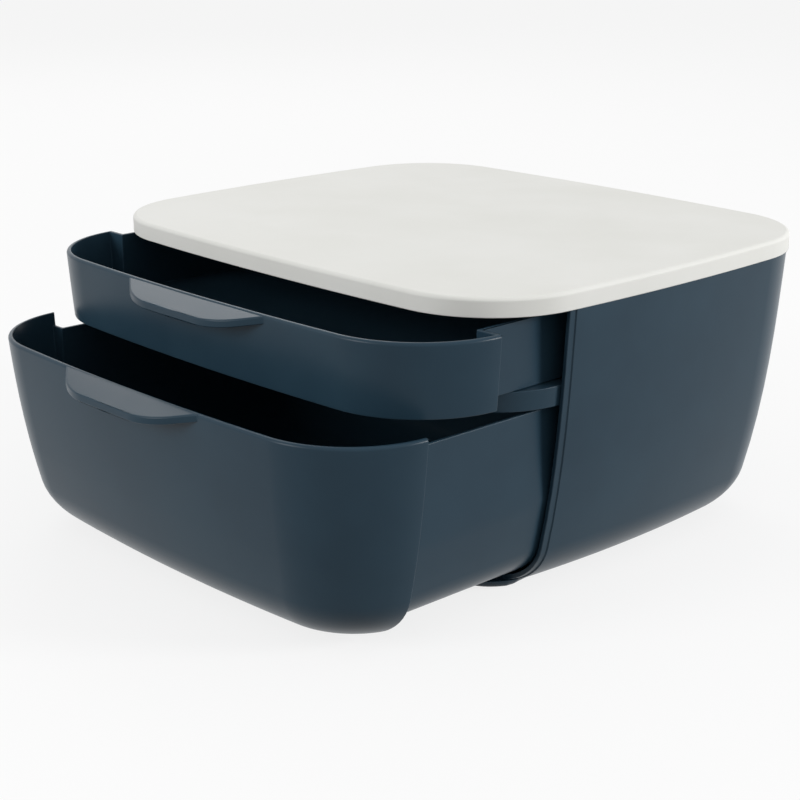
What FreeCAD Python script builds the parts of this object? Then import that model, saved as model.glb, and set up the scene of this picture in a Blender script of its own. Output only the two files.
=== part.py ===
"""Two-drawer desktop file box: a tapering moulded housing with a lid, a middle shelf and two drawers.

Frame: +Z up, z = 0 on the table, X across the width, the drawers pull out towards -Y. The origin
lies under the middle of the box with its drawers as they stand. Each piece is built with the shut
box's middle at Y = 0, then moved to its place. All sizes are in millimetres.

Housing and drawer fronts are slices of one tapering form. The form is a loft through rounded,
slightly bowed rectangles, and each wall is the space between two of these lofts.
"""
import FreeCAD, Part
import Sketcher
import math
import os
import re

DOC = FreeCAD.newDocument("file_box")

# Driving dimensions. A level is a height above the table.
SIZES = {
    "width": 367.2,             # closed box, over the bowed sides
    "depth": 314.2,             # closed box, over the bowed front and back
    "bulge": 7.6,               # how far each side bows out
    "corner": 56,               # corner radius at the top
    "corner_fade": 0.6,         # loss of corner radius for each millimetre of taper
    "stand": 1.2,               # what the feet lift the base by
    "body_height": 175.2,       # base to the underside of the lid
    "reveal": 1.0,              # how far the lid overhangs the body
    "lean": 0.057,              # taper of the sides: inset = reveal + lean * drop + curl * drop^3
    "curl": 0.00000252,
    "base_round": 30.9,         # radius of the turn from the sides into the base
    "seam": 89.4,               # from the middle to the plane where the drawer fronts meet the housing
    "join": 1,                  # how far joined blocks run into each other
    "slide_gap": 0.3,           # between surfaces that slide over each other

    "housing_wall": 3.2,
    "housing_floor": 4.5,
    "rebate": 0.8,              # step round the mouth that the drawer fronts meet
    "rebate_length": 4.2,
    "ledge_half": 168,          # from the middle to the inner edge of the ledges that carry the shelf
    "ledge_height": 6,
    "ledge_setback": 12,        # from the mouth to the front of the ledges
    "ledge_rear": 90,

    "shelf_inset": 3.8,         # from the outer form to the shelf's edge
    "shelf_top": 132.7,
    "shelf_skirt": 120.7,       # level of the skirt's lower edge
    "shelf_plate": 2.6,
    "rail_clearance": 0.8,      # between the upper drawer's side and its rail
    "rail_thickness": 2,
    "rail_height": 5,
    "rail_setback": 5,
    "rail_rear": 100,

    "lid_thickness": 11.2,
    "lid_skin": 2.6,
    "lid_rim": 5.5,             # width of the band that sits on the housing's walls
    "lid_top_edge": 2.4,        # radius of the rounded upper edge
    "lid_bottom_edge": 0.6,
    "rib_thickness": 1.6,
    "rib_clearance": 1.5,       # from the lid's underside up to the ribs
    "hook_spot": 65,            # hooks this far before and behind the middle
    "hook_half": 6,             # half of a hook's width
    "hook_inner": 171.8,        # from the middle to the hook's inner face
    "hook_thickness": 2,
    "hook_level": 168,          # level of the hook's lower end
    "barb_reach": 1.8,
    "barb_height": 2.4,
    "catch_inner": 175,
    "catch_height": 2,

    "front_wall": 2.8,          # drawer fronts
    "drawer_wall": 2.2,
    "drawer_half": 164.7,       # from the middle to the recessed side walls
    "drawer_inset": 4.6,        # from the outer form to the drawer bodies
    "front_lap": 20,            # how far the body's block reaches forward into the front's
    "lower_floor": 6.8,         # lower drawer's underside above the base
    "front_floor": 4.8,         # lower drawer front's underside above the base
    "lower_side_rim": 118.1,
    "lower_rim": 126.4,
    "upper_skirt": 129.2,       # level of the upper front's lower edge
    "upper_floor": 133,
    "upper_rim": 172.5,
    "glide_from": 68,           # two runners under the lower drawer
    "glide_width": 3,
    "glide_setback": 2,
    "glide_rear": 80,

    "stop_plane": 60,           # from the middle to the stop bars
    "stop_bar": 3,              # thickness of a bar
    "stop_from": 85,            # span of a bar, from the middle
    "stop_to": 115,
    "stop_clearance": 0.9,      # from a drawer's rim up to its stop bars
    "lug_rise": 1.8,            # from a drawer's rim to the top of its lugs
    "lug_margin": 5,            # what a lug is narrower than its bar by, on each side
    "lug_height": 4,            # how far a lug reaches down the wall
    "lug_zone": 14,             # strip along the rear wall that the lugs stand in

    "lower_pull": 103.2,        # how far each drawer stands open
    "upper_pull": 53.5,

    "grip_flat": 44.4,          # straight stretch of the grip's edge
    "grip_round": 51.8,         # radius that joins it to the slanted ends
    "grip_back": 131.2,         # width over the slanted ends, at the plan's back line
    "grip_reach": 16,
    "grip_drop": 4.5,           # fall of the grip's top face over its reach
    "grip_thickness": 4.6,
    "lower_grip_step": 0.3,     # from the rim down to the grip's top face
    "upper_grip_step": 1,
    "tongue_half": 49,
    "tongue_drop": 4.6,         # from the rim down to the tongue's underside
    "tongue_thickness": 2,
    "tongue_gap": 0.15,         # clearance in the slot

    "foot_radius": 8,
    "foot_gap": 0.1,            # what a foot is smaller than its recess by
    "foot_recess": 1,
    "foot_edge": 0.6,
    "foot_x": 92,
    "foot_rear": 70,
    "foot_front": 74,
}


def make_sheet():
    sheet = DOC.addObject("Spreadsheet::Sheet", "Sizes")
    for row, (alias, value) in enumerate(SIZES.items(), start=1):
        sheet.set(f"A{row}", alias)
        sheet.set(f"B{row}", f"{value:.8f}")
        sheet.setAlias(f"B{row}", alias)
    DOC.recompute()
    return sheet


SHEET = make_sheet()


def sized(expression):
    """Replace each bare alias in an expression by its cell."""
    return re.sub(r"[a-z_]+", lambda word: "Sizes." * (word[0] in SIZES) + word[0], expression)


def value_of(expression):
    return SHEET.evalExpression(sized(expression))


def bind(thing, path, expression):
    thing.setExpression(path, sized(expression))


def place(thing, x="0", y="0", z="0"):
    for axis, expression in zip("xyz", (x, y, z)):
        bind(thing, f"Placement.Base.{axis}", expression)


# ---------------------------------------------------------------- outline of one level

def corner_centre(half_x, half_y, bulge, side, end, corner):
    """Centre of the corner arc that touches the side arc and the end arc from inside."""
    side_centre = FreeCAD.Vector(half_x + bulge - side, 0, 0)
    end_centre = FreeCAD.Vector(0, half_y + bulge - end, 0)
    along = end_centre - side_centre
    span = along.Length
    along.normalize()
    reach = ((side - corner) ** 2 - (end - corner) ** 2 + span ** 2) / (2 * span)
    rise = ((side - corner) ** 2 - reach ** 2) ** 0.5
    across = FreeCAD.Vector(-along.y, along.x, 0)
    return side_centre + along * reach + across * rise, side_centre, end_centre


def add_outline(sketch, inset, corner):
    """Eight tangent arcs: four bowed sides and four round corners, set in from the box's outline."""
    half_x = f"( width / 2 - bulge - ( {inset} ) )"
    half_y = f"( depth / 2 - bulge - ( {inset} ) )"
    side = f"( {half_y} * {half_y} + bulge * bulge ) / ( 2 * bulge )"
    end = f"( {half_x} * {half_x} + bulge * bulge ) / ( 2 * bulge )"
    side_r, end_r, corner_r = value_of(side), value_of(end), value_of(corner)
    centre, side_c, end_c = corner_centre(value_of(half_x), value_of(half_y), value_of("bulge"),
                                          side_r, end_r, corner_r)
    on_side = side_c + (centre - side_c).normalize() * side_r
    on_end = end_c + (centre - end_c).normalize() * end_r

    def arc(middle, radius, start, stop):
        circle = Part.Circle(middle, FreeCAD.Vector(0, 0, 1), radius)
        turns = [circle.parameter(point) for point in (start, stop)]
        if turns[1] < turns[0]:
            turns[1] += 2 * math.pi
        return sketch.addGeometry(Part.ArcOfCircle(circle, *turns), False)

    def mirrored(point, sx, sy):
        return FreeCAD.Vector(sx * point.x, sy * point.y, 0)

    arcs = [
        arc(side_c, side_r, mirrored(on_side, 1, -1), on_side),
        arc(centre, corner_r, on_side, on_end),
        arc(end_c, end_r, on_end, mirrored(on_end, -1, 1)),
        arc(mirrored(centre, -1, 1), corner_r, mirrored(on_end, -1, 1), mirrored(on_side, -1, 1)),
        arc(mirrored(side_c, -1, 1), side_r, mirrored(on_side, -1, 1), mirrored(on_side, -1, -1)),
        arc(mirrored(centre, -1, -1), corner_r, mirrored(on_side, -1, -1), mirrored(on_end, -1, -1)),
        arc(mirrored(end_c, 1, -1), end_r, mirrored(on_end, -1, -1), mirrored(on_end, 1, -1)),
        arc(mirrored(centre, 1, -1), corner_r, mirrored(on_end, 1, -1), mirrored(on_side, 1, -1)),
    ]
    for first, second in zip(arcs, arcs[1:] + arcs[:1]):
        sketch.addConstraint(Sketcher.Constraint("Tangent", first, 2, second, 1))
    for near, far in ((0, 4), (2, 6), (1, 3), (1, 5), (1, 7)):
        sketch.addConstraint(Sketcher.Constraint("Equal", arcs[near], arcs[far]))
    for index, axis in ((0, -1), (4, -1), (2, -2), (6, -2)):
        sketch.addConstraint(Sketcher.Constraint("PointOnObject", arcs[index], 3, axis))
    named = [
        ("side_radius", Sketcher.Constraint("Radius", arcs[0], side_r), side),
        ("end_radius", Sketcher.Constraint("Radius", arcs[2], end_r), end),
        ("corner_radius", Sketcher.Constraint("Radius", arcs[1], corner_r), corner),
        ("right_centre", Sketcher.Constraint("DistanceX", arcs[0], 3, -1, 1, -side_c.x),
         f"{side} - {half_x} - bulge"),
        ("left_centre", Sketcher.Constraint("DistanceX", -1, 1, arcs[4], 3, -side_c.x),
         f"{side} - {half_x} - bulge"),
        ("rear_centre", Sketcher.Constraint("DistanceY", arcs[2], 3, -1, 1, -end_c.y),
         f"{end} - {half_y} - bulge"),
        ("front_centre", Sketcher.Constraint("DistanceY", -1, 1, arcs[6], 3, -end_c.y),
         f"{end} - {half_y} - bulge"),
    ]
    for name, constraint, expression in named:
        index = sketch.addConstraint(constraint)
        sketch.renameConstraint(index, name)
        bind(sketch, f"Constraints.{name}", expression)


def level_outline(name, drop, inset, corner):
    """The form's outline at one level, `drop` below the lid."""
    sketch = DOC.addObject("Sketcher::SketchObject", name)
    add_outline(sketch, inset, corner)
    place(sketch, z=f"stand + body_height - ( {drop} )")
    return sketch


def taper(drop):
    return f"reveal + lean * ( {drop} ) + curl * ( {drop} ) ^ 3"


# Levels of the loft, closer together where the profile turns faster.
SIDE_SHARES = (-0.02, 0.45, 0.76, 1)            # of the height above the base's turn
TURN_ANGLES = (22, 45, 68, 90)                  # degrees round the base's turn


def ruled_loft(name, outlines):
    form = DOC.addObject("Part::Loft", name)
    form.Sections = outlines
    form.Solid = True
    form.Ruled = True
    return form


def tapering_form(name, wall="0", lift="0"):
    """Solid of the box's form, its sides set in by `wall` and its base raised by `lift`."""
    outlines = []
    for share in SIDE_SHARES:
        drop = f"{share} * ( body_height - base_round )"
        inset = f"{taper(drop)} + {wall}"
        corner = f"corner - corner_fade * ( {taper(drop)} ) - {wall}"
        outlines.append(level_outline(f"{name}_side_{len(outlines)}", drop, inset, corner))
    for angle in TURN_ANGLES:
        drop = f"body_height - base_round + ( base_round - {lift} ) * sin( {angle} deg )"
        turned = f"( base_round - {wall} ) * ( 1 - cos( {angle} deg ) )"
        inset = f"{taper(drop)} + {turned} + {wall}"
        corner = f"corner - corner_fade * ( {taper(drop)} + {turned} ) - {wall}"
        outlines.append(level_outline(f"{name}_turn_{len(outlines)}", drop, inset, corner))
    return ruled_loft(name, outlines)


# ---------------------------------------------------------------- solids and how they combine

def box(name, x, y, z):
    """A block between two expressions on each axis."""
    block = DOC.addObject("Part::Box", name)
    for size, (low, high) in zip(("Length", "Width", "Height"), (x, y, z)):
        bind(block, size, f"( {high} ) - ( {low} )")
    place(block, x[0], y[0], z[0])
    return block


def wide(half):
    return around("0", half)


def around(middle, half):
    return f"{middle} - ( {half} )", f"{middle} + {half}"


def all_of(name, *things):
    """What every one of the solids fills."""
    result = DOC.addObject("Part::MultiCommon", name)
    result.Shapes = list(things)
    return result


def joined(name, *things):
    result = DOC.addObject("Part::MultiFuse", name)
    result.Shapes = list(things)
    result.Refine = True
    return result


def without(name, base, *tools):
    result = DOC.addObject("Part::Cut", name)
    result.Base = base
    result.Tool = tools[0] if len(tools) == 1 else joined(f"{name}_tools", *tools)
    return result


def pair(name, x, y, z):
    """The same block on the left and on the right."""
    right = box(f"{name}_right", x, y, z)
    left = box(f"{name}_left", (f"-( {x[1]} )", f"-( {x[0]} )"), y, z)
    return [right, left]


def front_face(rim):
    """Where the form's front lies at a rim's level, on the middle plane."""
    return f"-( depth / 2 - ( {taper(f'{TOP} - {rim}')} ) )"


def finish_piece(piece, label, pull="0", x="0", y="0"):
    """Name a finished piece and move it to where it stands, its drawer pulled out."""
    piece.Label = label
    front = f"{front_face('lower_rim')} - grip_reach - lower_pull"
    place(piece, x, f"{y} - ( {front} + depth / 2 ) / 2 - {pull}")
    return piece


# ---------------------------------------------------------------- the form and its inner skins

FAR = "400"                     # past the box on every side
TOP = "stand + body_height"     # underside of the lid
LID_TOP = "stand + body_height + lid_thickness"
FLOOR = "stand + housing_floor"

OUTER = tapering_form("outer_form")
HOUSING_SKIN = tapering_form("housing_skin", "housing_wall", "housing_floor")
REBATE_SKIN = tapering_form("rebate_skin", "rebate", "rebate")
SHELF_SKIN = tapering_form("shelf_skin", "shelf_inset", "shelf_inset")
BODY_SKIN = tapering_form("body_skin", "drawer_inset", "lower_floor")
BODY_INSIDE = tapering_form("body_inside", "( drawer_inset + drawer_wall )", "( lower_floor + drawer_wall )")
FRONT_INSIDE = tapering_form("front_inside", "front_wall", "( front_floor + drawer_wall )")

def upright(name, outline, height):
    """Solid that stands on an outline."""
    solid = DOC.addObject("Part::Extrusion", name)
    solid.Base = outline
    solid.DirMode = "Normal"
    solid.Solid = True
    bind(solid, "LengthFwd", height)
    return solid


def sliding_form(name, skin):
    """The part of a skin that can slide out: no wider anywhere than the skin is in the mouth's plane."""
    behind = all_of(f"{name}_slice", skin, box(f"{name}_behind", wide(FAR), ("-seam", "0"), ("0", TOP)))
    DOC.recompute()
    spans = [face.BoundBox for face in behind.Shape.Faces]
    mouth = next(f"Face{index}" for index, span in enumerate(spans, start=1)
                 if span.YLength < 0.01 and span.YMax < value_of("join - seam"))
    outline = DOC.addObject("PartDesign::SubShapeBinder", f"{name}_mouth")
    outline.Support = [(behind, (mouth,))]
    tunnel = DOC.addObject("Part::Extrusion", f"{name}_tunnel")
    tunnel.Base = outline
    tunnel.DirMode = "Custom"
    tunnel.Dir = FreeCAD.Vector(0, 1, 0)
    tunnel.Solid = True
    bind(tunnel, "LengthFwd", "depth")
    bind(tunnel, "LengthRev", "front_lap")
    return all_of(name, skin, tunnel)


BODY_FORM = sliding_form("body_form", BODY_SKIN)
BODY_ROOM = sliding_form("body_room", BODY_INSIDE)


# ---------------------------------------------------------------- housing

HOOK_SPOTS = {"front": "-hook_spot", "rear": "hook_spot"}
FEET = {
    "front_left": ("-foot_x", "-foot_front"),
    "front_right": ("foot_x", "-foot_front"),
    "rear_left": ("-foot_x", "foot_rear"),
    "rear_right": ("foot_x", "foot_rear"),
}


def make_housing():
    """Closed back, sides and floor in one moulding. The floor runs on in front of the mouth as a flat
    plate with an upright edge, and the lower drawer's front stands over it."""
    behind = box("housing_half", wide(FAR), ("-seam", FAR), ("0", TOP))
    walls = without("housing_walls", all_of("housing_block", OUTER, behind), HOUSING_SKIN)

    plate_drop = "body_height - housing_floor"
    plate_turn = "base_round - sqrt( base_round ^ 2 - ( base_round - housing_floor ) ^ 2 )"
    plate = upright("plate", level_outline(
        "plate_outline", "body_height", f"{taper(plate_drop)} + {plate_turn}",
        f"corner - corner_fade * ( {taper(plate_drop)} + {plate_turn} )"), "housing_floor")
    ahead = box("plate_half", wide(FAR), (f"-{FAR}", "-seam"), ("0", TOP))
    front_plate = all_of("front_plate", plate, ahead)

    ledges = pair("ledge", ("ledge_half", FAR), ("ledge_setback - seam", "ledge_rear"),
                  ("shelf_skirt - ledge_height", "shelf_skirt"))
    catch_foot = "hook_level + barb_height + slide_gap"
    catches = [block for spot, y in HOOK_SPOTS.items()
               for block in pair(f"catch_{spot}", ("catch_inner", FAR), around(y, "hook_half + 2 * join"),
                                 (catch_foot, f"{catch_foot} + catch_height"))]
    fittings = all_of("seated_fittings", joined("fittings", *ledges, *catches), OUTER)

    solid = joined("housing_solid", walls, front_plate, fittings)
    mouth = box("mouth_slice", wide(FAR), ("-seam - join", "rebate_length - seam"), (FLOOR, f"{TOP} + join"))
    rebate = without("rebate_band", mouth, REBATE_SKIN)
    recesses = [foot_disc(f"recess_{name}", "foot_radius", x, y) for name, (x, y) in FEET.items()]
    return finish_piece(without("housing_cut", solid, rebate, *recesses), "housing")


def foot_disc(name, radius, x="0", y="0"):
    disc = DOC.addObject("Part::Cylinder", name)
    bind(disc, "Radius", radius)
    bind(disc, "Height", "stand + foot_recess")
    place(disc, x, y)
    return disc


# ---------------------------------------------------------------- middle shelf

def stop_bars(name, rim, root):
    """Two bars that hang over a drawer's rim and hold its lugs back."""
    return pair(name, ("stop_from", "stop_to"), ("-stop_plane - stop_bar", "-stop_plane"),
                (f"{rim} + stop_clearance", f"{root} - join"))


def make_shelf():
    """Plate with a skirt all round, dropped on the housing's ledges. Two rails keep the upper drawer
    straight and two bars under the plate stop the lower drawer."""
    slab = box("shelf_slab", wide(FAR), (f"-{FAR}", FAR), ("shelf_skirt", "shelf_top"))
    room = box("shelf_room", wide(FAR), (f"-{FAR}", FAR), ("shelf_skirt - join", "shelf_top - shelf_plate"))
    shell = without("shelf_shell", all_of("shelf_block", SHELF_SKIN, slab),
                    all_of("shelf_hollow", BODY_INSIDE, room))
    rail = "drawer_half + rail_clearance"
    rails = pair("rail", (rail, f"{rail} + rail_thickness"), ("rail_setback - seam", "rail_rear"),
                 ("shelf_top - join", "shelf_top + rail_height"))
    bars = stop_bars("lower_stop", "lower_side_rim", "shelf_top")
    return finish_piece(joined("shelf_joined", shell, *rails, *bars), "middle_shelf")


# ---------------------------------------------------------------- lid

EDGE_ANGLES = (0, 30, 60, 90)       # degrees round the lid's upper edge
RIBS_ALONG = ("-110", "-37", "37", "110")
RIBS_ACROSS = ("-100", "-30", "40", "110")


def make_lid():
    """Flat top with rounded edges, hollow and ribbed underneath, held by four snap hooks."""
    outlines = [level_outline("lid_foot", "0", "lid_bottom_edge", "corner - lid_bottom_edge"),
                level_outline("lid_side", "-lid_bottom_edge", "0", "corner")]
    for angle in EDGE_ANGLES:
        inset = f"lid_top_edge * ( 1 - cos( {angle} deg ) )"
        rise = f"lid_thickness - lid_top_edge * ( 1 - sin( {angle} deg ) )"
        outlines.append(level_outline(f"lid_edge_{len(outlines)}", f"-( {rise} )", inset, f"corner - {inset}"))
    rounded = ruled_loft("lid_rounded", outlines)
    hollow = upright("lid_hollow", level_outline("lid_hollow_outline", "0", "lid_rim", "corner - lid_rim"),
                     "lid_thickness - lid_skin")
    shell = without("lid_shell", rounded, hollow)

    root = f"{LID_TOP} - join"
    rib_levels = (f"{TOP} + rib_clearance", root)
    ribs = [box(f"rib_along_{spot}", around(x, "rib_thickness / 2"), (f"-{FAR}", FAR), rib_levels)
            for spot, x in enumerate(RIBS_ALONG)]
    ribs += [box(f"rib_across_{spot}", wide(FAR), around(y, "rib_thickness / 2"), rib_levels)
             for spot, y in enumerate(RIBS_ACROSS)]
    seated_ribs = all_of("seated_ribs", joined("ribs", *ribs), hollow)

    hooks = []
    outer = "hook_inner + hook_thickness"
    for spot, y in HOOK_SPOTS.items():
        span = around(y, "hook_half")
        hooks += pair(f"hook_{spot}", ("hook_inner", outer), span, ("hook_level", root))
        hooks += pair(f"barb_{spot}", (f"{outer} - join", f"{outer} + barb_reach"), span,
                      ("hook_level", "hook_level + barb_height"))
    bars = stop_bars("upper_stop", "upper_rim", LID_TOP)
    return finish_piece(joined("lid_joined", shell, seated_ribs, *bars, *hooks), "lid")


# ---------------------------------------------------------------- drawers

def make_drawer(name, front, body, side_rim, front_rim, floor, pull, skirted=False):
    """A tub whose front is a slice of the box's own form and whose sides step in behind it.

    front, body: lowest levels of the front and of the body. floor: lowest level of the space inside,
    above the round of the two inner skins. skirted: the front hangs down past the floor as a skirt,
    with room behind it for the shelf.
    """
    ahead = (f"-{FAR}", "-seam")
    lap = "-seam - front_lap"
    front_block = all_of(f"{name}_front_block", OUTER,
                         box(f"{name}_front_half", wide(FAR), ahead, (front, front_rim)))
    body_block = all_of(f"{name}_body_block", BODY_FORM,
                        box(f"{name}_body_half", wide("drawer_half"), (lap, FAR), (body, side_rim)))
    outside = joined(f"{name}_outside", front_block, body_block)

    front_space = all_of(f"{name}_front_space", FRONT_INSIDE,
                         box(f"{name}_front_room", wide(FAR), (f"-{FAR}", "-seam - drawer_wall"), (floor, FAR)))
    body_space = all_of(f"{name}_body_space", BODY_ROOM,
                        box(f"{name}_body_room", wide("drawer_half - drawer_wall"), (lap, FAR), (floor, FAR)))
    spaces = [front_space, body_space]
    if side_rim != front_rim:
        spaces.append(all_of(f"{name}_notch", FRONT_INSIDE,
                             box(f"{name}_notch_room", wide(FAR), (lap, "-seam + join"), (side_rim, FAR))))
    if skirted:
        spaces.append(all_of(f"{name}_pocket", FRONT_INSIDE,
                             box(f"{name}_pocket_room", wide(FAR), (f"-{FAR}", "-seam + join"),
                                 (f"{front} - join", body))))
    slot_foot = f"{front_rim} - tongue_drop"
    slot = box(f"{name}_slot", wide("tongue_half + tongue_gap"), (f"-{FAR}", lap),
               (f"{slot_foot} - tongue_gap", f"{slot_foot} + tongue_thickness + tongue_gap"))
    tub = without(f"{name}_tub", outside, *spaces, slot)

    lug_blocks = pair(f"{name}_lug", ("stop_from + lug_margin", "stop_to - lug_margin"),
                      ("depth / 2 - lug_zone", FAR), (f"{side_rim} - lug_height", f"{side_rim} + lug_rise"))
    lugs = all_of(f"{name}_lugs", joined(f"{name}_lug_pair", *lug_blocks), BODY_SKIN)
    pieces = [tub, without(f"{name}_lug_walls", lugs, BODY_INSIDE)]
    if not skirted:
        pieces += pair(f"{name}_glide", ("glide_from", "glide_from + glide_width"),
                       ("-seam + glide_setback", "glide_rear"),
                       (f"{FLOOR} + slide_gap", "stand + lower_floor + join"))
    return finish_piece(joined(f"{name}_joined", *pieces), name, pull)


# ---------------------------------------------------------------- grips

def grip_plan(name, rim, bottom):
    """The tab seen from above: a straight edge, two long arcs and two slanted ends.
    The form's front lies along the sketch's X axis."""
    flat, radius, reach, back_half, behind = map(value_of, (
        "grip_flat / 2", "grip_round", "grip_reach", "grip_back / 2", "front_wall"))
    centre = FreeCAD.Vector(flat, radius - reach, 0)
    root = FreeCAD.Vector(back_half, behind, 0)
    sight = root - centre
    slant = math.atan2(sight.y, sight.x) - math.acos(radius / sight.Length)
    touch = centre + FreeCAD.Vector(math.cos(slant), math.sin(slant), 0) * radius
    sketch = DOC.addObject("Sketcher::SketchObject", f"{name}_plan")

    def line(x0, y0, x1, y1):
        return sketch.addGeometry(Part.LineSegment(FreeCAD.Vector(x0, y0, 0), FreeCAD.Vector(x1, y1, 0)), False)

    def arc(x, start, end):
        circle = Part.Circle(FreeCAD.Vector(x, centre.y, 0), FreeCAD.Vector(0, 0, 1), radius)
        return sketch.addGeometry(Part.ArcOfCircle(circle, start, end), False)

    front = line(-flat, -reach, flat, -reach)
    right_arc = arc(flat, -math.pi / 2, slant)
    right_end = line(touch.x, touch.y, root.x, root.y)
    back = line(root.x, root.y, -root.x, root.y)
    left_end = line(-root.x, root.y, -touch.x, touch.y)
    left_arc = arc(-flat, -math.pi - slant, -math.pi / 2)
    relations = [
        ("Tangent", front, 2, right_arc, 1), ("Tangent", right_arc, 2, right_end, 1),
        ("Coincident", right_end, 2, back, 1), ("Coincident", back, 2, left_end, 1),
        ("Tangent", left_end, 2, left_arc, 1), ("Tangent", left_arc, 2, front, 1),
        ("Symmetric", front, 1, front, 2, -2), ("Symmetric", back, 1, back, 2, -2),
        ("Equal", left_arc, right_arc),
    ]
    for relation in relations:
        sketch.addConstraint(Sketcher.Constraint(*relation))
    named = [
        ("flat", Sketcher.Constraint("DistanceX", front, 1, front, 2, 2 * flat), "grip_flat"),
        ("reach", Sketcher.Constraint("DistanceY", front, 1, -1, 1, reach), "grip_reach"),
        ("behind", Sketcher.Constraint("DistanceY", -1, 1, back, 1, behind), "front_wall"),
        ("round", Sketcher.Constraint("Radius", right_arc, radius), "grip_round"),
        ("back", Sketcher.Constraint("DistanceX", back, 2, back, 1, 2 * back_half), "grip_back"),
    ]
    for key, constraint, expression in named:
        sketch.renameConstraint(sketch.addConstraint(constraint), key)
        bind(sketch, f"Constraints.{key}", expression)
    place(sketch, y=front_face(rim), z=bottom)
    return sketch


def make_grip(name, rim, step, pull):
    """Tab that falls towards its rounded edge, with a tongue that plugs into the drawer's front."""
    root = f"{rim} - {step} - grip_thickness"
    ahead = "( 2 * grip_reach )"
    lowest = f"{root} - {ahead} * grip_drop / grip_reach"
    tall = upright(f"{name}_tall", grip_plan(name, rim, lowest), "3 * grip_reach")

    slab = DOC.addObject("Part::Box", f"{name}_slab")
    fall = "atan( grip_drop / grip_reach )"
    bind(slab, "Length", "2 * grip_back")
    bind(slab, "Width", "4 * grip_reach")
    bind(slab, "Height", f"grip_thickness * cos( {fall} )")
    slab.Placement = FreeCAD.Placement(
        FreeCAD.Vector(), FreeCAD.Rotation(FreeCAD.Vector(1, 0, 0), value_of(fall)))
    bind(slab, "Placement.Rotation.Angle", fall)
    place(slab, "-grip_back", f"{front_face(rim)} - {ahead}", lowest)
    tab = without(f"{name}_tab", all_of(f"{name}_block", tall, slab), OUTER)

    face = front_face(rim)
    foot = f"{rim} - tongue_drop"
    tongue = box(f"{name}_tongue", wide("tongue_half"), (f"{face} - 2 * join", f"{face} + front_wall"),
                 (foot, f"{foot} + tongue_thickness"))
    return finish_piece(joined(f"{name}_joined", tab, tongue), name, pull)


# ---------------------------------------------------------------- feet

def make_foot(name, x, y):
    """Rubber disc pressed into a recess under the floor, its lower edge chamfered."""
    disc = foot_disc(f"disc_{name}", "foot_radius - foot_gap")
    DOC.recompute()
    foot = DOC.addObject("Part::Chamfer", f"foot_{name}_eased")
    foot.Base = disc
    edge = value_of("foot_edge")
    foot.Edges = [(index, edge, edge) for index, rim in enumerate(disc.Shape.Edges, start=1)
                  if rim.BoundBox.ZMax < value_of("stand")]
    return finish_piece(foot, f"foot_{name}", x=x, y=y)


# ---------------------------------------------------------------- check and export

def main():
    pieces = [
        make_housing(),
        make_shelf(),
        make_lid(),
        make_drawer("upper_drawer", front="upper_skirt", body="upper_floor", side_rim="upper_rim",
                    front_rim="upper_rim", floor="upper_floor + drawer_wall", pull="upper_pull",
                    skirted=True),
        make_grip("upper_grip", "upper_rim", "upper_grip_step", "upper_pull"),
        make_drawer("lower_drawer", front="stand + front_floor", body="0", side_rim="lower_side_rim",
                    front_rim="lower_rim", floor="0", pull="lower_pull"),
        make_grip("lower_grip", "lower_rim", "lower_grip_step", "lower_pull"),
    ]
    pieces += [make_foot(name, x, y) for name, (x, y) in FEET.items()]
    DOC.recompute()

    for thing in DOC.Objects:
        faults = {"Invalid", "Error"} & set(thing.State)
        if faults:
            raise RuntimeError(f"{thing.Name} is {faults}")
    for piece in pieces:
        shape = piece.Shape
        if shape.isNull() or not shape.isValid() or len(shape.Solids) != 1:
            raise RuntimeError(f"{piece.Label}: {len(shape.Solids)} solids, valid {shape.isValid()}")
    os.makedirs("parts", exist_ok=True)
    for piece in pieces:
        shape = piece.Shape
        shape.exportStep(f"parts/{piece.Label}.step")
        span = shape.BoundBox
        print(f"{piece.Label:18} {shape.Volume / 1000:8.1f} cm3  x {span.XMin:7.1f} {span.XMax:7.1f}"
              f"  y {span.YMin:7.1f} {span.YMax:7.1f}  z {span.ZMin:6.1f} {span.ZMax:6.1f}")


main()
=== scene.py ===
import math
import bmesh
import bpy
import numpy as np
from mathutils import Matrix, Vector


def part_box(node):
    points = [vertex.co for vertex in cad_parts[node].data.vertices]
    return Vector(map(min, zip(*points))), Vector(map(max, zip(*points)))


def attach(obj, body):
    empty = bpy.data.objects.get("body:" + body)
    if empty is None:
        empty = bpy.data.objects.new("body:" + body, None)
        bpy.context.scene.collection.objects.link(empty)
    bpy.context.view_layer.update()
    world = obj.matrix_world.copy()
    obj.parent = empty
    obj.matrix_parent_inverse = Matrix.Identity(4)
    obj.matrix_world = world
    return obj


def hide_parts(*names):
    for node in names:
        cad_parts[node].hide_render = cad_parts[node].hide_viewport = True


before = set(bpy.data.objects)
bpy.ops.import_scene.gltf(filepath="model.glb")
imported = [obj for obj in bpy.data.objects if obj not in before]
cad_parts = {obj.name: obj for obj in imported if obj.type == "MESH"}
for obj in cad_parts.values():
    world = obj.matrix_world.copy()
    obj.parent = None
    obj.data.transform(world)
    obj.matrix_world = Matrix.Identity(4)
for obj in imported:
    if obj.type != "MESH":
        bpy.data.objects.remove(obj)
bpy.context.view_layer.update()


# ---------------------------------------------------------------- housing
# The housing is one deep injection moulding in slate-coloured plastic, closed at the back, the
# sides and the floor. It tapers towards the table so that the moulding tool can draw it, and its
# mouth is stepped in by a hair so that the drawer fronts close over it.

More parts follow.
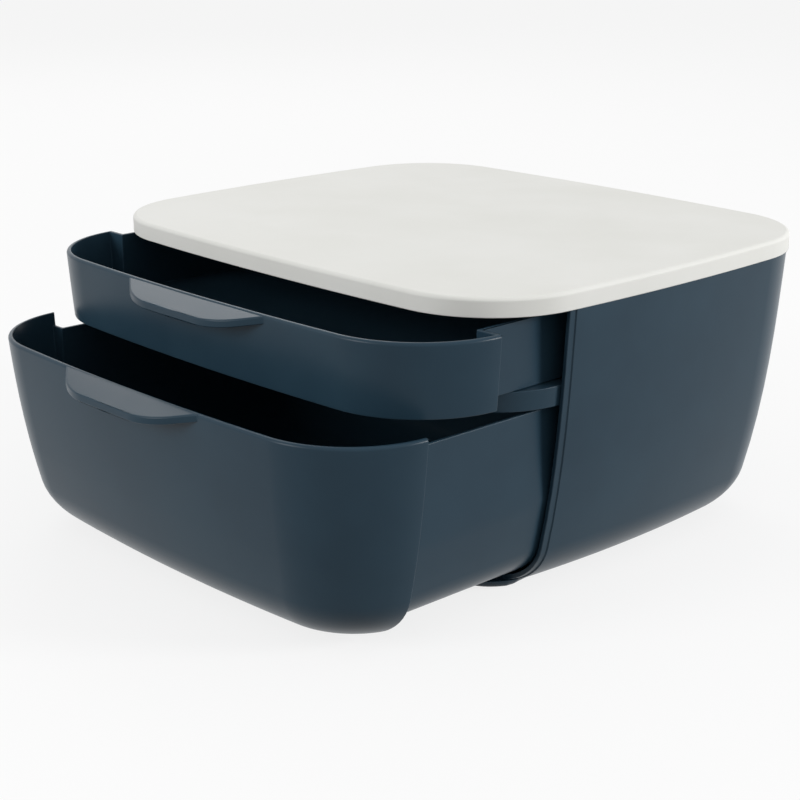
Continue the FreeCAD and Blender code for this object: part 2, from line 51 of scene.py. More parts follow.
HALF_WIDTH, HALF_DEPTH, BOW, CORNER = 183.6, 157.1, 7.6, 65     # millimetres, as all sizes here
LID_SEAT, TABLE_GAP = 176.4, 1.2
BASE_TURN = 30.9
TURN_TOP = TABLE_GAP + BASE_TURN
SEAM = -89.4                                        # plane of the mouth
LID_OVERHANG, TAPER, TAPER_GROWTH = 1, 0.057, 0.00000252
CORNER_TAPER = 0.6                                  # how much of the taper the corners' radius takes
SIDE_STEPS, CORNER_STEPS, TURN_PACE = 30, 60, 1.4
SHUT_MIDDLE = 1000 * (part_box("lid")[0].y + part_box("lid")[1].y) / 2


class Ring:
    """The box's outline at one height: bowed sides, a bowed front and back, four round corners."""

    def __init__(self, height, inset, corner):
        half_x, half_y = HALF_WIDTH - BOW - inset, HALF_DEPTH - BOW - inset
        self.height, self.corner = height, corner
        self.side = (half_y ** 2 + BOW ** 2) / (2 * BOW)
        self.end = (half_x ** 2 + BOW ** 2) / (2 * BOW)
        self.side_x = half_x + BOW - self.side
        self.end_y = half_y + BOW - self.end
        to_side, to_end = self.side - corner, self.end - corner
        span = math.hypot(self.side_x, self.end_y)
        reach = (to_side ** 2 - to_end ** 2 + span ** 2) / (2 * span)
        rise = math.sqrt(to_side ** 2 - reach ** 2)
        along = (-self.side_x / span, self.end_y / span)
        self.centre = (self.side_x + along[0] * reach - along[1] * rise,
                       along[1] * reach + along[0] * rise)
        self.side_turn = math.atan2(self.centre[1], self.centre[0] - self.side_x)
        self.end_turn = math.atan2(self.centre[1] - self.end_y, self.centre[0])

    def point(self, turn):
        """Where the outline faces `turn` radians from straight out to the right."""
        away = abs(turn)
        if away < self.side_turn:
            x, y, radius = self.side_x, 0, self.side
        elif away < self.end_turn:
            x, y, radius = self.centre[0], self.centre[1], self.corner
        else:
            x, y, radius = 0, self.end_y, self.end
        across, along = x + radius * math.cos(away), y + radius * math.sin(away)
        return max(across, 0), math.copysign(along, turn)

    def path(self, start, stop, steps):
        """Points up the right half from y = start to y = stop, closer where the outline turns."""
        quarter = np.concatenate([np.linspace(0, self.side_turn, SIDE_STEPS),
                                  np.linspace(self.side_turn, self.end_turn, CORNER_STEPS),
                                  np.linspace(self.end_turn, math.pi / 2, SIDE_STEPS)])
        turns = np.unique(np.concatenate([-quarter, quarter]))
        rises = np.array([self.point(turn)[1] for turn in turns])
        first, last = np.interp([start, stop], rises, turns)
        turns = np.concatenate([[first], turns[(turns > first) & (turns < last)], [last]])
        points = np.array([self.point(turn) for turn in turns])
        lengths = np.hypot(*np.diff(points, axis=0).T)
        pace = lengths / lengths.sum() + TURN_PACE * np.diff(turns) / (last - first)
        places = np.concatenate([[0], np.cumsum(pace)])
        stops = np.interp(np.linspace(0, places[-1], steps), places, turns)
        found = [(*self.point(turn), self.height) for turn in stops]
        found[0] = (found[0][0], max(start, found[0][1]), self.height)
        found[-1] = (found[-1][0], min(stop, found[-1][1]), self.height)
        return found

    def width_at(self, y):
        """Half of the outline's width at y."""
        return self.path(y, HALF_DEPTH, 2)[0][0]


def taper_at(height):
    """How far the sides have drawn in from the lid's outline at a height."""
    drop = LID_SEAT - height
    return LID_OVERHANG + TAPER * drop + TAPER_GROWTH * drop ** 3


def form_at(height, wall=0.0, lift=0.0):
    """The form's outline at a height, its sides set in by `wall` and its base raised by `lift`."""
    taper = taper_at(height)
    share = min(max(TURN_TOP - height, 0) / (BASE_TURN - lift), 1)
    turned = (BASE_TURN - wall) * (1 - math.sqrt(1 - share ** 2))
    return Ring(height, taper + turned + wall, CORNER - CORNER_TAPER * (taper + turned) - wall)


def heights(top, bottom, lift=0.0, sides=9, turns=9):
    """Levels from top to bottom, closer together round the base's turn."""
    if bottom >= TURN_TOP:
        return list(np.linspace(top, bottom, sides))
    radius = BASE_TURN - lift
    last = math.asin(min((TURN_TOP - bottom) / radius, 1))
    down = np.linspace(top, TURN_TOP, sides)[:-1]
    round_base = [TURN_TOP - radius * math.sin(last * step / turns) for step in range(turns)]
    return [*down, *round_base, bottom]


CORNERS_PER_MM = 500                                # points closer than this become one corner
SHARP_FROM = math.radians(33)


class Moulding:
    """Collects the faces of one moulded piece. Each face is made with its mirror image, and points
    that coincide become one corner."""

    def __init__(self, name, pulled=0.0):
        self.name, self.pulled = name, pulled
        self.numbers, self.corners, self.faces = {}, [], []

    def number(self, point):
        """The corner at a point, which moves to metres and to where the drawer is pulled."""
        key = tuple(round(value * CORNERS_PER_MM) for value in point)
        if key not in self.numbers:
            self.numbers[key] = len(self.corners)
            x, y, z = point
            self.corners.append((x / 1000, (y + SHUT_MIDDLE - self.pulled) / 1000, z / 1000))
        return self.numbers[key]

    def face(self, *points):
        """One face and its mirror image, unless it lies in the middle plane."""
        if all(x == 0 for x, _, _ in points):
            return
        for side in (1, -1):
            ring = []
            for x, y, z in points:
                number = self.number((side * x, y, z))
                if number not in ring:
                    ring.append(number)
            if len(ring) > 2:
                self.faces.append(ring[::side])

    def sheet(self, rows):
        """Skin over rows of points, each row as long as the others."""
        for row, after in zip(rows, rows[1:]):
            for first in range(len(row) - 1):
                self.face(row[first], row[first + 1], after[first + 1], after[first])

    def across(self, points, *stops):
        """Flat skin from a row of points to the middle plane, with corners at the stops on the way."""
        self.sheet([[(min(x, stop), y, z) for stop in (math.inf, *stops, 0)] for x, y, z in points])

    def rod(self, *sections):
        """Closed bar through sections of equally many corners."""
        self.sheet([[*section, section[0]] for section in sections])
        self.face(*sections[0])
        self.face(*reversed(sections[-1]))

    def block(self, x, y, z):
        """Square bar between two values each of x, y and z."""
        self.rod(*[[(x[0], at, z[0]), (x[1], at, z[0]), (x[1], at, z[1]), (x[0], at, z[1])] for at in y])

    def cast(self, edge=0.45, segments=3):
        """The finished object, its sharp edges eased as a moulding tool leaves them."""
        sides = set()
        kept = []
        for ring in self.faces:
            key = frozenset(ring)
            if key not in sides:
                sides.add(key)
                kept.append(ring)
        mesh = bpy.data.meshes.new(self.name)
        mesh.from_pydata(self.corners, [], kept)
        work = bmesh.new()
        work.from_mesh(mesh)
        bmesh.ops.recalc_face_normals(work, faces=work.faces)
        for face in work.faces:
            face.smooth = True
        work.to_mesh(mesh)
        work.free()
        piece = bpy.data.objects.new(self.name, mesh)
        bpy.context.collection.objects.link(piece)
        ease = piece.modifiers.new("eased_edges", "BEVEL")
        ease.width = edge / 1000
        ease.segments = segments
        ease.limit_method = "ANGLE"
        ease.angle_limit = SHARP_FROM
        ease.use_clamp_overlap = False
        ease.miter_outer = "MITER_ARC"
        even = piece.modifiers.new("even_faces", "WEIGHTED_NORMAL")
        even.keep_sharp = True
        return piece


class Wire:
    """A value on its way through a material. A sum on it adds the Math node that works it out."""

    def __init__(self, tree, socket=None):
        self.tree, self.socket = tree, socket

    def node(self, kind, settings=(), inputs=(), output=0):
        """A new node's output, once its settings and the values or links of its sockets are made."""
        made = self.tree.nodes.new("ShaderNode" + kind)
        for name, value in dict(settings).items():
            setattr(made, name, value)
        for name, value in dict(inputs).items():
            if isinstance(value, Wire):
                self.tree.links.new(value.socket, made.inputs[name])
            else:
                made.inputs[name].default_value = value
        return Wire(self.tree, made.outputs[output] if made.outputs else None)

    def sum(self, operation, first, second):
        return self.node("Math", {"operation": operation}, {0: first, 1: second})

    def __add__(self, other):
        return self.sum("ADD", self, other)

    def __sub__(self, other):
        return self.sum("SUBTRACT", self, other)

    def __rsub__(self, other):
        return self.sum("SUBTRACT", other, self)

    def __mul__(self, other):
        return self.sum("MULTIPLY", self, other)

    __radd__ = __add__
    __rmul__ = __mul__

    def between(self, low, high):
        """0 below low, 1 above high, even in between."""
        return self.node("MapRange", {}, {"Value": self, "From Min": low, "From Max": high})

    def blend(self, first, second):
        """Colour that goes from first to second as this value goes from 0 to 1."""
        return self.node("Mix", {"data_type": "RGBA"}, {0: self, 6: first, 7: second}, output=2)


def srgb(red, green, blue):
    return (*[(value / 255 / 12.92 if value < 11 else ((value / 255 + 0.055) / 1.055) ** 2.4)
              for value in (red, green, blue)], 1)


OBJECT_PLACE, TRUE_NORMAL = 3, 1                    # outputs of the coordinate and geometry nodes
EDGE_WIDTH = 0.0009                                 # metres round an edge that the painted highlight covers
EDGE_BEND, EDGE_HIGHLIGHT_PATCHES = (0.004, 0.10), (0.30, 0.62)
CLOUDS, SPECKS = (0.32, 0.68), (0.35, 0.72)
SPECK_SHARE, EDGE_HIGHLIGHT_SHARE, EDGE_HIGHLIGHT_MATT = 0.10, 0.55, 0.10


def moulded_plastic(name, colour, lighter, edge_highlight, roughness, grain=0.000005, haze=0.05, index=1.26):
    """Satin moulded plastic: a fine spark-eroded grain, slight clouding, and a painted highlight that
    lightens its edges in patches.
    """
    material = bpy.data.materials.new(name)
    material.use_nodes = True
    material.node_tree.nodes.clear()
    here = Wire(material.node_tree)
    place = here.node("TexCoord", output=OBJECT_PLACE)
    cloud = here.node("TexNoise", {}, {"Vector": place, "Scale": 14, "Detail": 3, "Roughness": 0.55})
    flow = here.node("TexNoise", {}, {"Vector": place, "Scale": 55, "Detail": 4, "Roughness": 0.6})
    fine = here.node("TexNoise", {}, {"Vector": place, "Scale": 1100, "Detail": 2, "Roughness": 0.5})
    flat = here.node("NewGeometry", output=TRUE_NORMAL)
    eased = here.node("Bevel", {"samples": 6}, {"Radius": EDGE_WIDTH})
    bend = 1 - here.node("VectorMath", {"operation": "DOT_PRODUCT"}, {0: flat, 1: eased}, output=1)
    # Painted highlight: edges found by the Bevel node are lightened in patches towards the highlight
    # colour and made a little rougher.
    edge_highlight_mask = bend.between(*EDGE_BEND) * flow.between(*EDGE_HIGHLIGHT_PATCHES)
    tone = cloud.between(*CLOUDS).blend(colour, lighter)
    specks = fine.between(*SPECKS) * SPECK_SHARE
    tone = specks.blend(tone, lighter)
    tone = (edge_highlight_mask * EDGE_HIGHLIGHT_SHARE).blend(tone, edge_highlight)
    gloss = (cloud - 0.5) * haze + (flow - 0.5) * haze + roughness + edge_highlight_mask * EDGE_HIGHLIGHT_MATT
    bump = here.node("Bump", {}, {"Height": fine, "Strength": 0.5, "Distance": grain})
    surface = here.node("BsdfPrincipled", {}, {
        "Base Color": tone, "Roughness": gloss, "Normal": bump, "IOR": index})
    here.node("OutputMaterial", {}, {"Surface": surface})
    return material


SLATE = srgb(36, 57, 71)
SLATE_LIGHT = srgb(41, 63, 77)
# Painted highlight colour for the slate plastic's edges.
SLATE_EDGE_HIGHLIGHT = srgb(84, 104, 118)
slate_shell = moulded_plastic("slate_shell_plastic", SLATE, SLATE_LIGHT, SLATE_EDGE_HIGHLIGHT, 0.30)

WALL, FLOOR_THICKNESS = 3.2, 4.5
REBATE, REBATE_END = 0.8, SEAM + 4.2
FLOOR_TOP = TABLE_GAP + FLOOR_THICKNESS
LOW_TURNS = (66, 74, 82)                            # degrees round the base's turn, under the floor
LIP_FADE, LIP_SHARE, LIP_FROM = 22, 0.85, 60
ROUND_STEPS = 64


def mouth_to_rear(height, wall, lift):
    """Wall outline from the mouth round to the back, with a corner where the mouth's step ends."""
    ring = form_at(height, wall, lift)
    return [(ring.width_at(SEAM), SEAM, height)] + ring.path(REBATE_END, HALF_DEPTH, ROUND_STEPS)


def lipped(row):
    """The underside's outline, which stands proud as a rounded lip in front of the mouth."""
    proud = form_at(FLOOR_TOP)
    moved = []
    for x, y, z in row:
        share = 0.5 + 0.5 * math.cos(math.pi * min(max((y - SEAM) / LIP_FADE, 0), 1))
        if share > 0 and x > LIP_FROM:
            x = max(x, x + (proud.width_at(y) - x) * share * LIP_SHARE)
        moved.append((x, y, z))
    return moved


housing = Moulding("housing_shell")
levels = heights(LID_SEAT, FLOOR_TOP, FLOOR_THICKNESS, turns=10)
turn_levels = [TURN_TOP - BASE_TURN * math.sin(math.radians(turn)) for turn in LOW_TURNS]
low_levels = [FLOOR_TOP, *turn_levels, TABLE_GAP]
step_rows = []
for level in levels:
    inner_step = form_at(level, REBATE, REBATE)
    step_rows.append([(inner_step.width_at(y), y, level) for y in (SEAM, REBATE_END)])
outer_rows = [mouth_to_rear(level, 0, 0) for level in levels]
inner_rows = [mouth_to_rear(level, WALL, FLOOR_THICKNESS) for level in levels]
under_rows = [lipped(mouth_to_rear(level, 0, 0)) for level in low_levels]
housing.sheet([step + outer[1:] for step, outer in zip(step_rows, outer_rows)])
housing.sheet([step[:1] + inner[:1] for step, inner in zip(step_rows, inner_rows)])
housing.sheet([step_rows[0] + outer_rows[0][1:], inner_rows[0][:2] + inner_rows[0][1:]])
housing.sheet(inner_rows)
housing.face(*step_rows[-1], *under_rows[0][1::-1])
housing.sheet(under_rows)
housing.across(under_rows[-1])
housing.across(inner_rows[-1])

plate_rows = [lipped(form_at(level).path(-HALF_DEPTH, SEAM, ROUND_STEPS))[:-1] + under[:1]
              for level, under in zip(low_levels, under_rows)]
housing.sheet(plate_rows)
housing.across(plate_rows[0], step_rows[-1][0][0], inner_rows[-1][0][0])
housing.across(plate_rows[-1])

LEDGE_INNER, LEDGE_TOP, LEDGE_FOOT = 168, 120.7, 114.7
LEDGE_START, LEDGE_END, LEDGE_STEPS = SEAM + 12, 90, 13
LEDGE_SUNK = 0.6                                    # how far the ledge runs into the wall
housing.rod(*[[(LEDGE_INNER, y, LEDGE_TOP), (LEDGE_INNER, y, LEDGE_FOOT),
               (form_at(LEDGE_FOOT, WALL).width_at(y) + LEDGE_SUNK, y, LEDGE_FOOT),
               (form_at(LEDGE_TOP, WALL).width_at(y) + LEDGE_SUNK, y, LEDGE_TOP)]
              for y in np.linspace(LEDGE_START, LEDGE_END, LEDGE_STEPS)])
housing_shell = housing.cast()
housing_shell.data.materials.append(slate_shell)
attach(housing_shell, "box")
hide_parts("housing")


# ---------------------------------------------------------------- middle shelf
# The shelf is a flat moulded plate with a skirt turned down all round, dropped on ledges inside
# the housing. It carries the upper drawer between two low rails.

SHELF_TOP, SHELF_SKIRT, SHELF_PLATE = 132.7, 120.7, 2.6
SHELF_SHOULDER = SHELF_TOP - 6
SHELF_OUTER, SHELF_INNER, SHELF_LIFT = 3.8, 6.8, 9
SUNK = 1                                            # how far rails, ribs and bars run into a plate
RAIL_WIDTH, RAIL_LENGTH, RAIL_TOP = (165.5, 167.5), (SEAM + 22, 100), SHELF_TOP + 5
STOP_WIDTH, STOP_LENGTH, STOP_FOOT = (85, 115), (-63, -60), 119
shelf = Moulding("shelf_plate")


def whole_round(height, wall, lift=0.0, steps=110):
    return form_at(height, wall, lift).path(-HALF_DEPTH, HALF_DEPTH, steps)


shelf_outer = [whole_round(level, SHELF_OUTER, SHELF_OUTER)
               for level in (SHELF_TOP, SHELF_SHOULDER, SHELF_SKIRT)]
shelf_inner = [whole_round(level, SHELF_INNER, SHELF_LIFT)
               for level in (SHELF_TOP - SHELF_PLATE, SHELF_SKIRT)]
shelf.sheet(shelf_outer)
shelf.sheet(shelf_inner)
shelf.sheet([shelf_outer[-1], shelf_inner[-1]])
shelf.across(shelf_outer[0])
shelf.across(shelf_inner[0])
shelf.block(RAIL_WIDTH, RAIL_LENGTH, (SHELF_TOP - SUNK, RAIL_TOP))
shelf.block(STOP_WIDTH, STOP_LENGTH, (STOP_FOOT, SHELF_TOP - SUNK))
shelf_plate = shelf.cast(edge=0.5)
shelf_plate.data.materials.append(slate_shell)
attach(shelf_plate, "box")
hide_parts("middle_shelf")


# ---------------------------------------------------------------- lid
# The lid is a white moulding, flat on top with a softly rounded upper edge. It is hollow and
# ribbed underneath, and four snap hooks hold it in the housing's rim.

LID_THICKNESS, LID_ROUND, LID_EASE, LID_RIM, LID_SKIN = 11.2, 2.4, 0.6, 5.5, 2.6
LID_TOP = LID_SEAT + LID_THICKNESS
lid = Moulding("lid_panel")


def lid_round(height, inset):
    return Ring(height, inset, CORNER - inset).path(-HALF_DEPTH, HALF_DEPTH, 150)


edge_rows = [lid_round(LID_SEAT + LID_EASE * (1 - math.cos(turn)), LID_EASE * (1 - math.sin(turn)))
             for turn in np.linspace(0, math.pi / 2, 5)]
edge_rows += [lid_round(LID_TOP - LID_ROUND * (1 - math.sin(turn)), LID_ROUND * (1 - math.cos(turn)))
              for turn in np.linspace(0, math.pi / 2, 9)]
hollow_rows = [lid_round(LID_SEAT, LID_RIM), lid_round(LID_TOP - LID_SKIN, LID_RIM)]
lid.sheet(edge_rows)
lid.across(edge_rows[-1])
lid.sheet([edge_rows[0], hollow_rows[0]])
lid.sheet(hollow_rows)
lid.across(hollow_rows[1])
RIB_FOOT, RIB_HALF, RIB_GAP = LID_SEAT + 1.5, 0.8, 3
LONG_RIBS = ((37, 140), (110, 100))                 # each rib's distance from the middle, half length
CROSS_RIBS = (-100, -30, 40, 110)
rib_ring = form_at(LID_SEAT, LID_RIM)
for x, reach in LONG_RIBS:
    lid.block((x - RIB_HALF, x + RIB_HALF), (-reach, reach), (RIB_FOOT, LID_TOP - SUNK))
for y in CROSS_RIBS:
    reach = rib_ring.width_at(-abs(y)) - RIB_GAP
    lid.block((0, reach), (y - RIB_HALF, y + RIB_HALF), (RIB_FOOT, LID_TOP - SUNK))
HOOK_PLACES, HOOK_HALF, HOOK_FOOT, BARB_TOP = (-65, 65), 6, 168, 170.4
HOOK_STEM, HOOK_BARB, HOOK_TOP = (171.8, 173.8), (173, 175.6), LID_TOP - 2
LID_STOP_FOOT = 173.4
for y in HOOK_PLACES:
    hook_length = (y - HOOK_HALF, y + HOOK_HALF)
    lid.block(HOOK_STEM, hook_length, (HOOK_FOOT, HOOK_TOP))
    lid.block(HOOK_BARB, hook_length, (HOOK_FOOT, BARB_TOP))
lid.block(STOP_WIDTH, STOP_LENGTH, (LID_STOP_FOOT, LID_TOP - SUNK))
lid_panel = lid.cast(edge=0.3, segments=2)
# The third colour is the painted highlight along the lid's edges.
WHITE, WHITE_LIGHT, WHITE_EDGE_HIGHLIGHT = srgb(224, 224, 219), srgb(229, 229, 225), srgb(242, 242, 239)
white_lid = moulded_plastic("white_lid_plastic", WHITE, WHITE_LIGHT, WHITE_EDGE_HIGHLIGHT, 0.60,
                            grain=0.000012, haze=0.06, index=1.42)
lid_panel.data.materials.append(white_lid)
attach(lid_panel, "box")
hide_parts("lid")


# ---------------------------------------------------------------- lower drawer
# The deep drawer is a moulded tub. Its front is a slice of the box's own form, and behind the
# front the sides step in to slide through the mouth. The sides stand a little lower than the
# front's rim. Two runners under the floor carry it.

LOWER_PULL, UPPER_PULL = 103.2, 53.5
FRONT_WALL, DRAWER_WALL, BODY_HALF = 2.8, 2.2, 164.7
BODY_INSET, ROOM_INSET = 4.6, 6.8
FRONT_LIFT, BODY_LIFT, ROOM_LIFT = 7, 6.8, 9         # how far each skin's base is raised
RIM_ROUND, RIM_STEPS = 2.0, 6
STEP_INSIDE = SEAM - DRAWER_WALL
slate_drawer = moulded_plastic("slate_drawer_plastic", SLATE, SLATE_LIGHT, SLATE_EDGE_HIGHLIGHT, 0.30)


def front_row(height, wall, lift):
    """The front's outline from its middle to the seam, with a corner at the step's inner face."""
    ring = form_at(height, wall, lift)
    return ring.path(-HALF_DEPTH, STEP_INSIDE, ROUND_STEPS) + [(ring.width_at(SEAM), SEAM, height)]


def body_row(height, wall, lift, half, start):
    """The body's outline from the step to the back, no wider than the mouth lets through."""
    ring = form_at(height, wall, lift)
    widest = min(half, ring.width_at(SEAM))
    return [(min(x, widest), y, z) for x, y, z in ring.path(start, HALF_DEPTH, ROUND_STEPS)]


def cut(rows, top, bottom):
    """The rows between two heights."""
    return [row for row in rows if bottom - 0.001 <= row[0][2] <= top + 0.001]


def drawer(name, pulled, front, underside, floor, side_rim, rim, edge_levels, hollow_skirt):
    """One drawer: its front from the rim down to `front`, its body from the side rim down to the
    underside, and the room inside them. Returns it with the rows of the front and of the body."""
    tub = Moulding(name, pulled)
    rim_insets = {rim - RIM_ROUND * (1 - math.sin(turn)): RIM_ROUND * (1 - math.cos(turn))
                  for turn in np.linspace(0, math.pi / 2, RIM_STEPS)}
    outer_levels = sorted({*edge_levels, *rim_insets, rim, side_rim, underside, front,
                           *heights(side_rim, underside, BODY_LIFT)}, reverse=True)
    room_levels = sorted({*[level for level in outer_levels if level >= side_rim], floor,
                          *heights(side_rim, floor, ROOM_LIFT)}, reverse=True)
    outer = [front_row(level, rim_insets.get(level, 0), 0) for level in outer_levels]
    inner = [front_row(level, FRONT_WALL, FRONT_LIFT) for level in room_levels]
    body = [body_row(level, BODY_INSET, BODY_LIFT, BODY_HALF, SEAM)
            for level in outer_levels if underside <= level <= side_rim]
    room = [body_row(level, ROOM_INSET, ROOM_LIFT, BODY_HALF - DRAWER_WALL, STEP_INSIDE)
            for level in room_levels if level <= side_rim]
    tub.sheet(outer)
    tub.sheet([outer[0], inner[0]])
    tub.sheet(cut(inner, rim, side_rim))
    tub.sheet([row[:-1] for row in cut(inner, side_rim, floor)])
    tub.sheet([[high[-1], low[-1]] for high, low in
               zip(cut(outer, rim, side_rim), cut(inner, rim, side_rim))])
    split = []
    for row, beside in zip(cut(outer, side_rim, underside), body):
        height = row[-1][2]
        open_inside = height > floor or (hollow_skirt and height == underside)
        within = form_at(height, FRONT_WALL, FRONT_LIFT).width_at(SEAM) if open_inside else 0
        split.append([row[-1], (max(within, beside[0][0]), SEAM, height), beside[0]])
    tub.sheet(split)
    tub.face(split[0][1], cut(inner, side_rim, side_rim)[0][-2], room[0][0], body[0][0])
    tub.sheet([[row[-2], beside[0]] for row, beside in zip(cut(inner, side_rim, floor), room)])
    tub.sheet(body)
    tub.sheet(room)
    tub.sheet([body[0], room[0]])
    tub.across(body[-1])
    tub.across(room[-1])
    tub.across(inner[-1][:-1], room[-1][0][0])
    return tub, outer, body


LOWER_FRONT, LOWER_BODY, LOWER_FLOOR = 6.0, 8.0, 10.2
LOWER_SIDE_RIM, LOWER_RIM = 118.1, 126.4
CREASE_LEVELS = (57.9, 57.1)
lower, outer, body = drawer("lower_drawer_tub", LOWER_PULL, LOWER_FRONT, LOWER_BODY, LOWER_FLOOR,
                            LOWER_SIDE_RIM, LOWER_RIM, CREASE_LEVELS, hollow_skirt=False)
lower.across(outer[-1])
lip_top, lip_foot = outer[-2][-1], outer[-1][-1]
lower.face(lip_top, body[-1][0], (0, SEAM, LOWER_BODY), (0, SEAM, LOWER_FRONT), lip_foot)
RUNNER_WIDTH, RUNNER_LENGTH = (68, 71), (SEAM + 2, 80)
LUG_WIDTH, LOWER_LUG_LENGTH, LOWER_LUG_HEIGHT = (90, 110), (143.2, 145.8), (114, 119.9)
lower.block(RUNNER_WIDTH, RUNNER_LENGTH, (LOWER_FRONT, LOWER_BODY + SUNK))
lower.block(LUG_WIDTH, LOWER_LUG_LENGTH, LOWER_LUG_HEIGHT)
lower_drawer_tub = lower.cast(edge=0.6)
lower_drawer_tub.data.materials.append(slate_drawer)
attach(lower_drawer_tub, "lower_drawer_body")
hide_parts("lower_drawer")


# ---------------------------------------------------------------- upper drawer
# The shallow drawer is made in the same way. Its front hangs down past the floor as a skirt that
# covers the shelf's edge.

UPPER_SKIRT, UPPER_BODY, UPPER_FLOOR, UPPER_RIM = 130.2, 133.0, 135.2, 172.5
upper, outer, body = drawer("upper_drawer_tub", UPPER_PULL, UPPER_SKIRT, UPPER_BODY, UPPER_FLOOR,
                            UPPER_RIM, UPPER_RIM, (), hollow_skirt=True)
pocket = [front_row(level, FRONT_WALL, FRONT_LIFT) for level in (UPPER_BODY, UPPER_SKIRT)]
upper.sheet(pocket)
upper.sheet([pocket[-1], outer[-1]])
upper.sheet([[high[-1], low[-1]] for high, low in zip(outer[-2:], pocket)])
upper.across(pocket[0], body[-1][0][0])
UPPER_LUG_LENGTH, UPPER_LUG_HEIGHT = (146.6, 149.4), (168.5, 174.3)
upper.block(LUG_WIDTH, UPPER_LUG_LENGTH, UPPER_LUG_HEIGHT)
upper_drawer_tub = upper.cast(edge=0.6)
upper_drawer_tub.data.materials.append(slate_drawer)
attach(upper_drawer_tub, "upper_drawer_body")
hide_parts("upper_drawer")


# ---------------------------------------------------------------- grips
# Each drawer has a separate moulded tab under its rim. Its top face falls towards the rounded
# edge, and its back runs into the drawer's front.

GRIP_FLAT, GRIP_ROUND, GRIP_REACH, GRIP_DROP, GRIP_THICKNESS = 22.2, 51.8, 16.0, 4.5, 4.6
GRIP_ROOT_HALF, GRIP_ROOT, GRIP_STEPS = 65.6, 2.8, 22
GRIP_SUNK = 1.5                                     # how far the tab's back runs into the front's wall


def grip(name, pulled, rim, step):
    """One tab, its top `step` below the drawer's rim."""
    tab = Moulding(name, pulled)
    face = taper_at(rim) - HALF_DEPTH
    centre = (GRIP_FLAT, GRIP_ROUND - GRIP_REACH)
    sight = (GRIP_ROOT_HALF - centre[0], GRIP_ROOT - centre[1])
    slant = math.atan2(sight[1], sight[0]) - math.acos(GRIP_ROUND / math.hypot(*sight))
    plan = [(0, -GRIP_REACH)]
    plan += [(centre[0] + GRIP_ROUND * math.cos(turn), centre[1] + GRIP_ROUND * math.sin(turn))
             for turn in np.linspace(-math.pi / 2, slant, GRIP_STEPS)]
    share = (GRIP_SUNK - plan[-1][1]) / (GRIP_ROOT - plan[-1][1])
    plan.append((plan[-1][0] + (GRIP_ROOT_HALF - plan[-1][0]) * share, GRIP_SUNK))
    top = [(x, face + y, rim - step + y * GRIP_DROP / GRIP_REACH) for x, y in plan]
    under = [(x, y, z - GRIP_THICKNESS) for x, y, z in top]
    tab.sheet([top, under])
    tab.across(top)
    tab.across(under)
    tab.face(top[-1], under[-1], (0, *under[-1][1:]), (0, *top[-1][1:]))
    return tab.cast(edge=0.9, segments=4)


for name, drawer_name, pulled, rim, step in (("lower_grip_tab", "lower", LOWER_PULL, LOWER_RIM, 0.3),
                                             ("upper_grip_tab", "upper", UPPER_PULL, UPPER_RIM, 1.0)):
    grip_tab = grip(name, pulled, rim, step)
    grip_tab.data.materials.append(slate_drawer)
    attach(grip_tab, f"{drawer_name}_drawer_body")
    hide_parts(f"{drawer_name}_grip")


# ---------------------------------------------------------------- feet
# Four dark rubber discs sit under the floor. They lift it off the table and keep the box from
# sliding.

# The third colour is the painted highlight along the discs' edges.
RUBBER, RUBBER_LIGHT, RUBBER_EDGE_HIGHLIGHT = srgb(30, 31, 33), srgb(38, 39, 41), srgb(58, 58, 60)
rubber = moulded_plastic("foot_rubber", RUBBER, RUBBER_LIGHT, RUBBER_EDGE_HIGHLIGHT, 0.72, grain=0.00004, index=1.5)
FOOT_PROFILE = ((6.6, 0), (7.3, 0.15), (7.75, 0.5), (7.9, 0.95), (7.9, 2.2))
FOOT_SIDES, FOOT_SHARP = 40, math.radians(50)


def foot_mesh(name, middle):
    """A disc turned from the profile round its middle, each of its ends closed by a fan of faces."""
    foot_corners = [(middle.x, middle.y, level / 1000) for _, level in (FOOT_PROFILE[0], FOOT_PROFILE[-1])]
    for radius, level in FOOT_PROFILE:
        for side in range(FOOT_SIDES):
            turn = 2 * math.pi * side / FOOT_SIDES
            foot_corners.append((middle.x + radius * math.cos(turn) / 1000,
                                 middle.y + radius * math.sin(turn) / 1000, level / 1000))
    first, last = 2, 2 + FOOT_SIDES * (len(FOOT_PROFILE) - 1)
    foot_faces = []
    for side in range(FOOT_SIDES):
        after = (side + 1) % FOOT_SIDES
        foot_faces.append((0, first + after, first + side))
        foot_faces.append((1, last + side, last + after))
        for ring in range(first, last, FOOT_SIDES):
            above = ring + FOOT_SIDES
            foot_faces.append((ring + side, ring + after, above + after, above + side))
    mesh = bpy.data.meshes.new(name)
    mesh.from_pydata(foot_corners, [], foot_faces)
    mesh.shade_smooth()
    mesh.set_sharp_from_angle(angle=FOOT_SHARP)
    return mesh


for spot in ("front_left", "front_right", "rear_left", "rear_right"):
    low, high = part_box(f"foot_{spot}")
    mesh = foot_mesh(f"foot_disc_{spot}", (low + high) / 2)
    foot_disc = bpy.data.objects.new(f"foot_disc_{spot}", mesh)
    bpy.context.collection.objects.link(foot_disc)
    mesh.materials.append(rubber)
    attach(foot_disc, "box")
    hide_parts(f"foot_{spot}")


# ---------------------------------------------------------------- studio
# A wide pale floor, even white light from all round, and three soft lamps: one low in front, one to
# the right and one behind on the left. Floor and surroundings are white to the eye, in reflections
# and through clear things, while the light they throw on the box is softer.

CAMERA_RAY, GLOSSY_RAY, THROUGH_RAY = 0, 3, 6       # outputs of the Light Path node
FLOOR_HALF, WORLD_LIGHT = 14, 0.60
FLOOR_GREY, FLOOR_GREY_LIGHT = srgb(104, 104, 104), srgb(108, 108, 108)
FLOOR_PALE, WHITE_SHARE = (0.9, 0.9, 0.9, 1), 0.80
PURE_WHITE = (1, 1, 1, 1)


def open_view(here):
    """1 for what the eye sees straight, in a reflection or through a clear thing."""
    return sum(here.node("LightPath", output=ray) for ray in (CAMERA_RAY, GLOSSY_RAY, THROUGH_RAY))


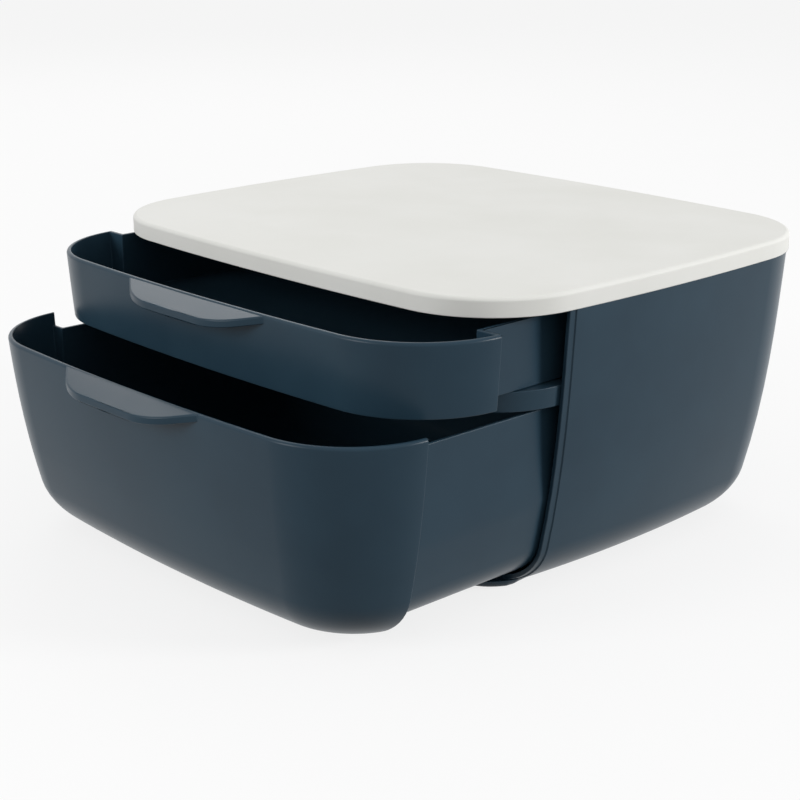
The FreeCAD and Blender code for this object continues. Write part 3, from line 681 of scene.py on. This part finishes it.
mesh = bpy.data.meshes.new("studio_floor")
work = bmesh.new()
bmesh.ops.create_grid(work, x_segments=24, y_segments=24, size=FLOOR_HALF)
work.to_mesh(mesh)
work.free()
studio_floor = bpy.data.objects.new("studio_floor", mesh)
bpy.context.collection.objects.link(studio_floor)
paper = bpy.data.materials.new("floor_paper")
paper.use_nodes = True
paper.node_tree.nodes.clear()
here = Wire(paper.node_tree)
speckle = here.node("TexNoise", {}, {"Scale": 300, "Detail": 3})
tone = speckle.between(0.3, 0.7).blend(FLOOR_GREY, FLOOR_GREY_LIGHT)
dull = here.node("BsdfDiffuse", {}, {"Color": tone})
bright = here.node("Emission", {}, {"Color": PURE_WHITE, "Strength": 1.0})
pale = here.node("BsdfDiffuse", {}, {"Color": FLOOR_PALE})
seen = here.node("MixShader", {}, {0: WHITE_SHARE, 1: pale, 2: bright})
surface = here.node("MixShader", {}, {0: open_view(here), 1: dull, 2: seen})
here.node("OutputMaterial", {}, {"Surface": surface})
mesh.materials.append(paper)

world = bpy.data.worlds.new("studio_light")
bpy.context.scene.world = world
world.use_nodes = True
world.node_tree.nodes.clear()
here = Wire(world.node_tree)
soft = here.node("Background", {}, {"Color": PURE_WHITE, "Strength": WORLD_LIGHT})
white = here.node("Background", {}, {"Color": PURE_WHITE, "Strength": 1.0})
surface = here.node("MixShader", {}, {0: open_view(here), 1: soft, 2: white})
here.node("OutputWorld", {}, {"Surface": surface})


LAMP_TARGET = Vector((0, 0, 0.1))


def soft_lamp(name, place, size, power):
    light = bpy.data.lights.new(name, "AREA")
    light.shape, light.size, light.energy = "DISK", size, power
    lamp = bpy.data.objects.new(name, light)
    bpy.context.collection.objects.link(lamp)
    lamp.location = place
    lamp.rotation_euler = (LAMP_TARGET - Vector(place)).to_track_quat("-Z", "Y").to_euler()


soft_lamp("lamp_front", place=(-0.6, -2.5, 1.05), size=1.2, power=28)
soft_lamp("lamp_right", place=(2.0, 1.25, 0.8), size=0.7, power=36)
soft_lamp("lamp_back", place=(-1.85, 1.05, 1.6), size=1.3, power=8)

CAMERA_PLACE, CAMERA_SIGHT = (0.7793, -0.72045, 0.41145), Vector((-0.69604, 0.65226, -0.30014))
LENS, SENSOR = 78.3, 36
camera_data = bpy.data.cameras.new("camera")
camera_data.lens, camera_data.sensor_width = LENS, SENSOR
camera = bpy.data.objects.new("camera", camera_data)
bpy.context.collection.objects.link(camera)
camera.location = CAMERA_PLACE
camera.rotation_euler = CAMERA_SIGHT.to_track_quat("-Z", "Y").to_euler()
bpy.context.scene.camera = camera
bpy.context.scene.view_settings.view_transform = "Standard"
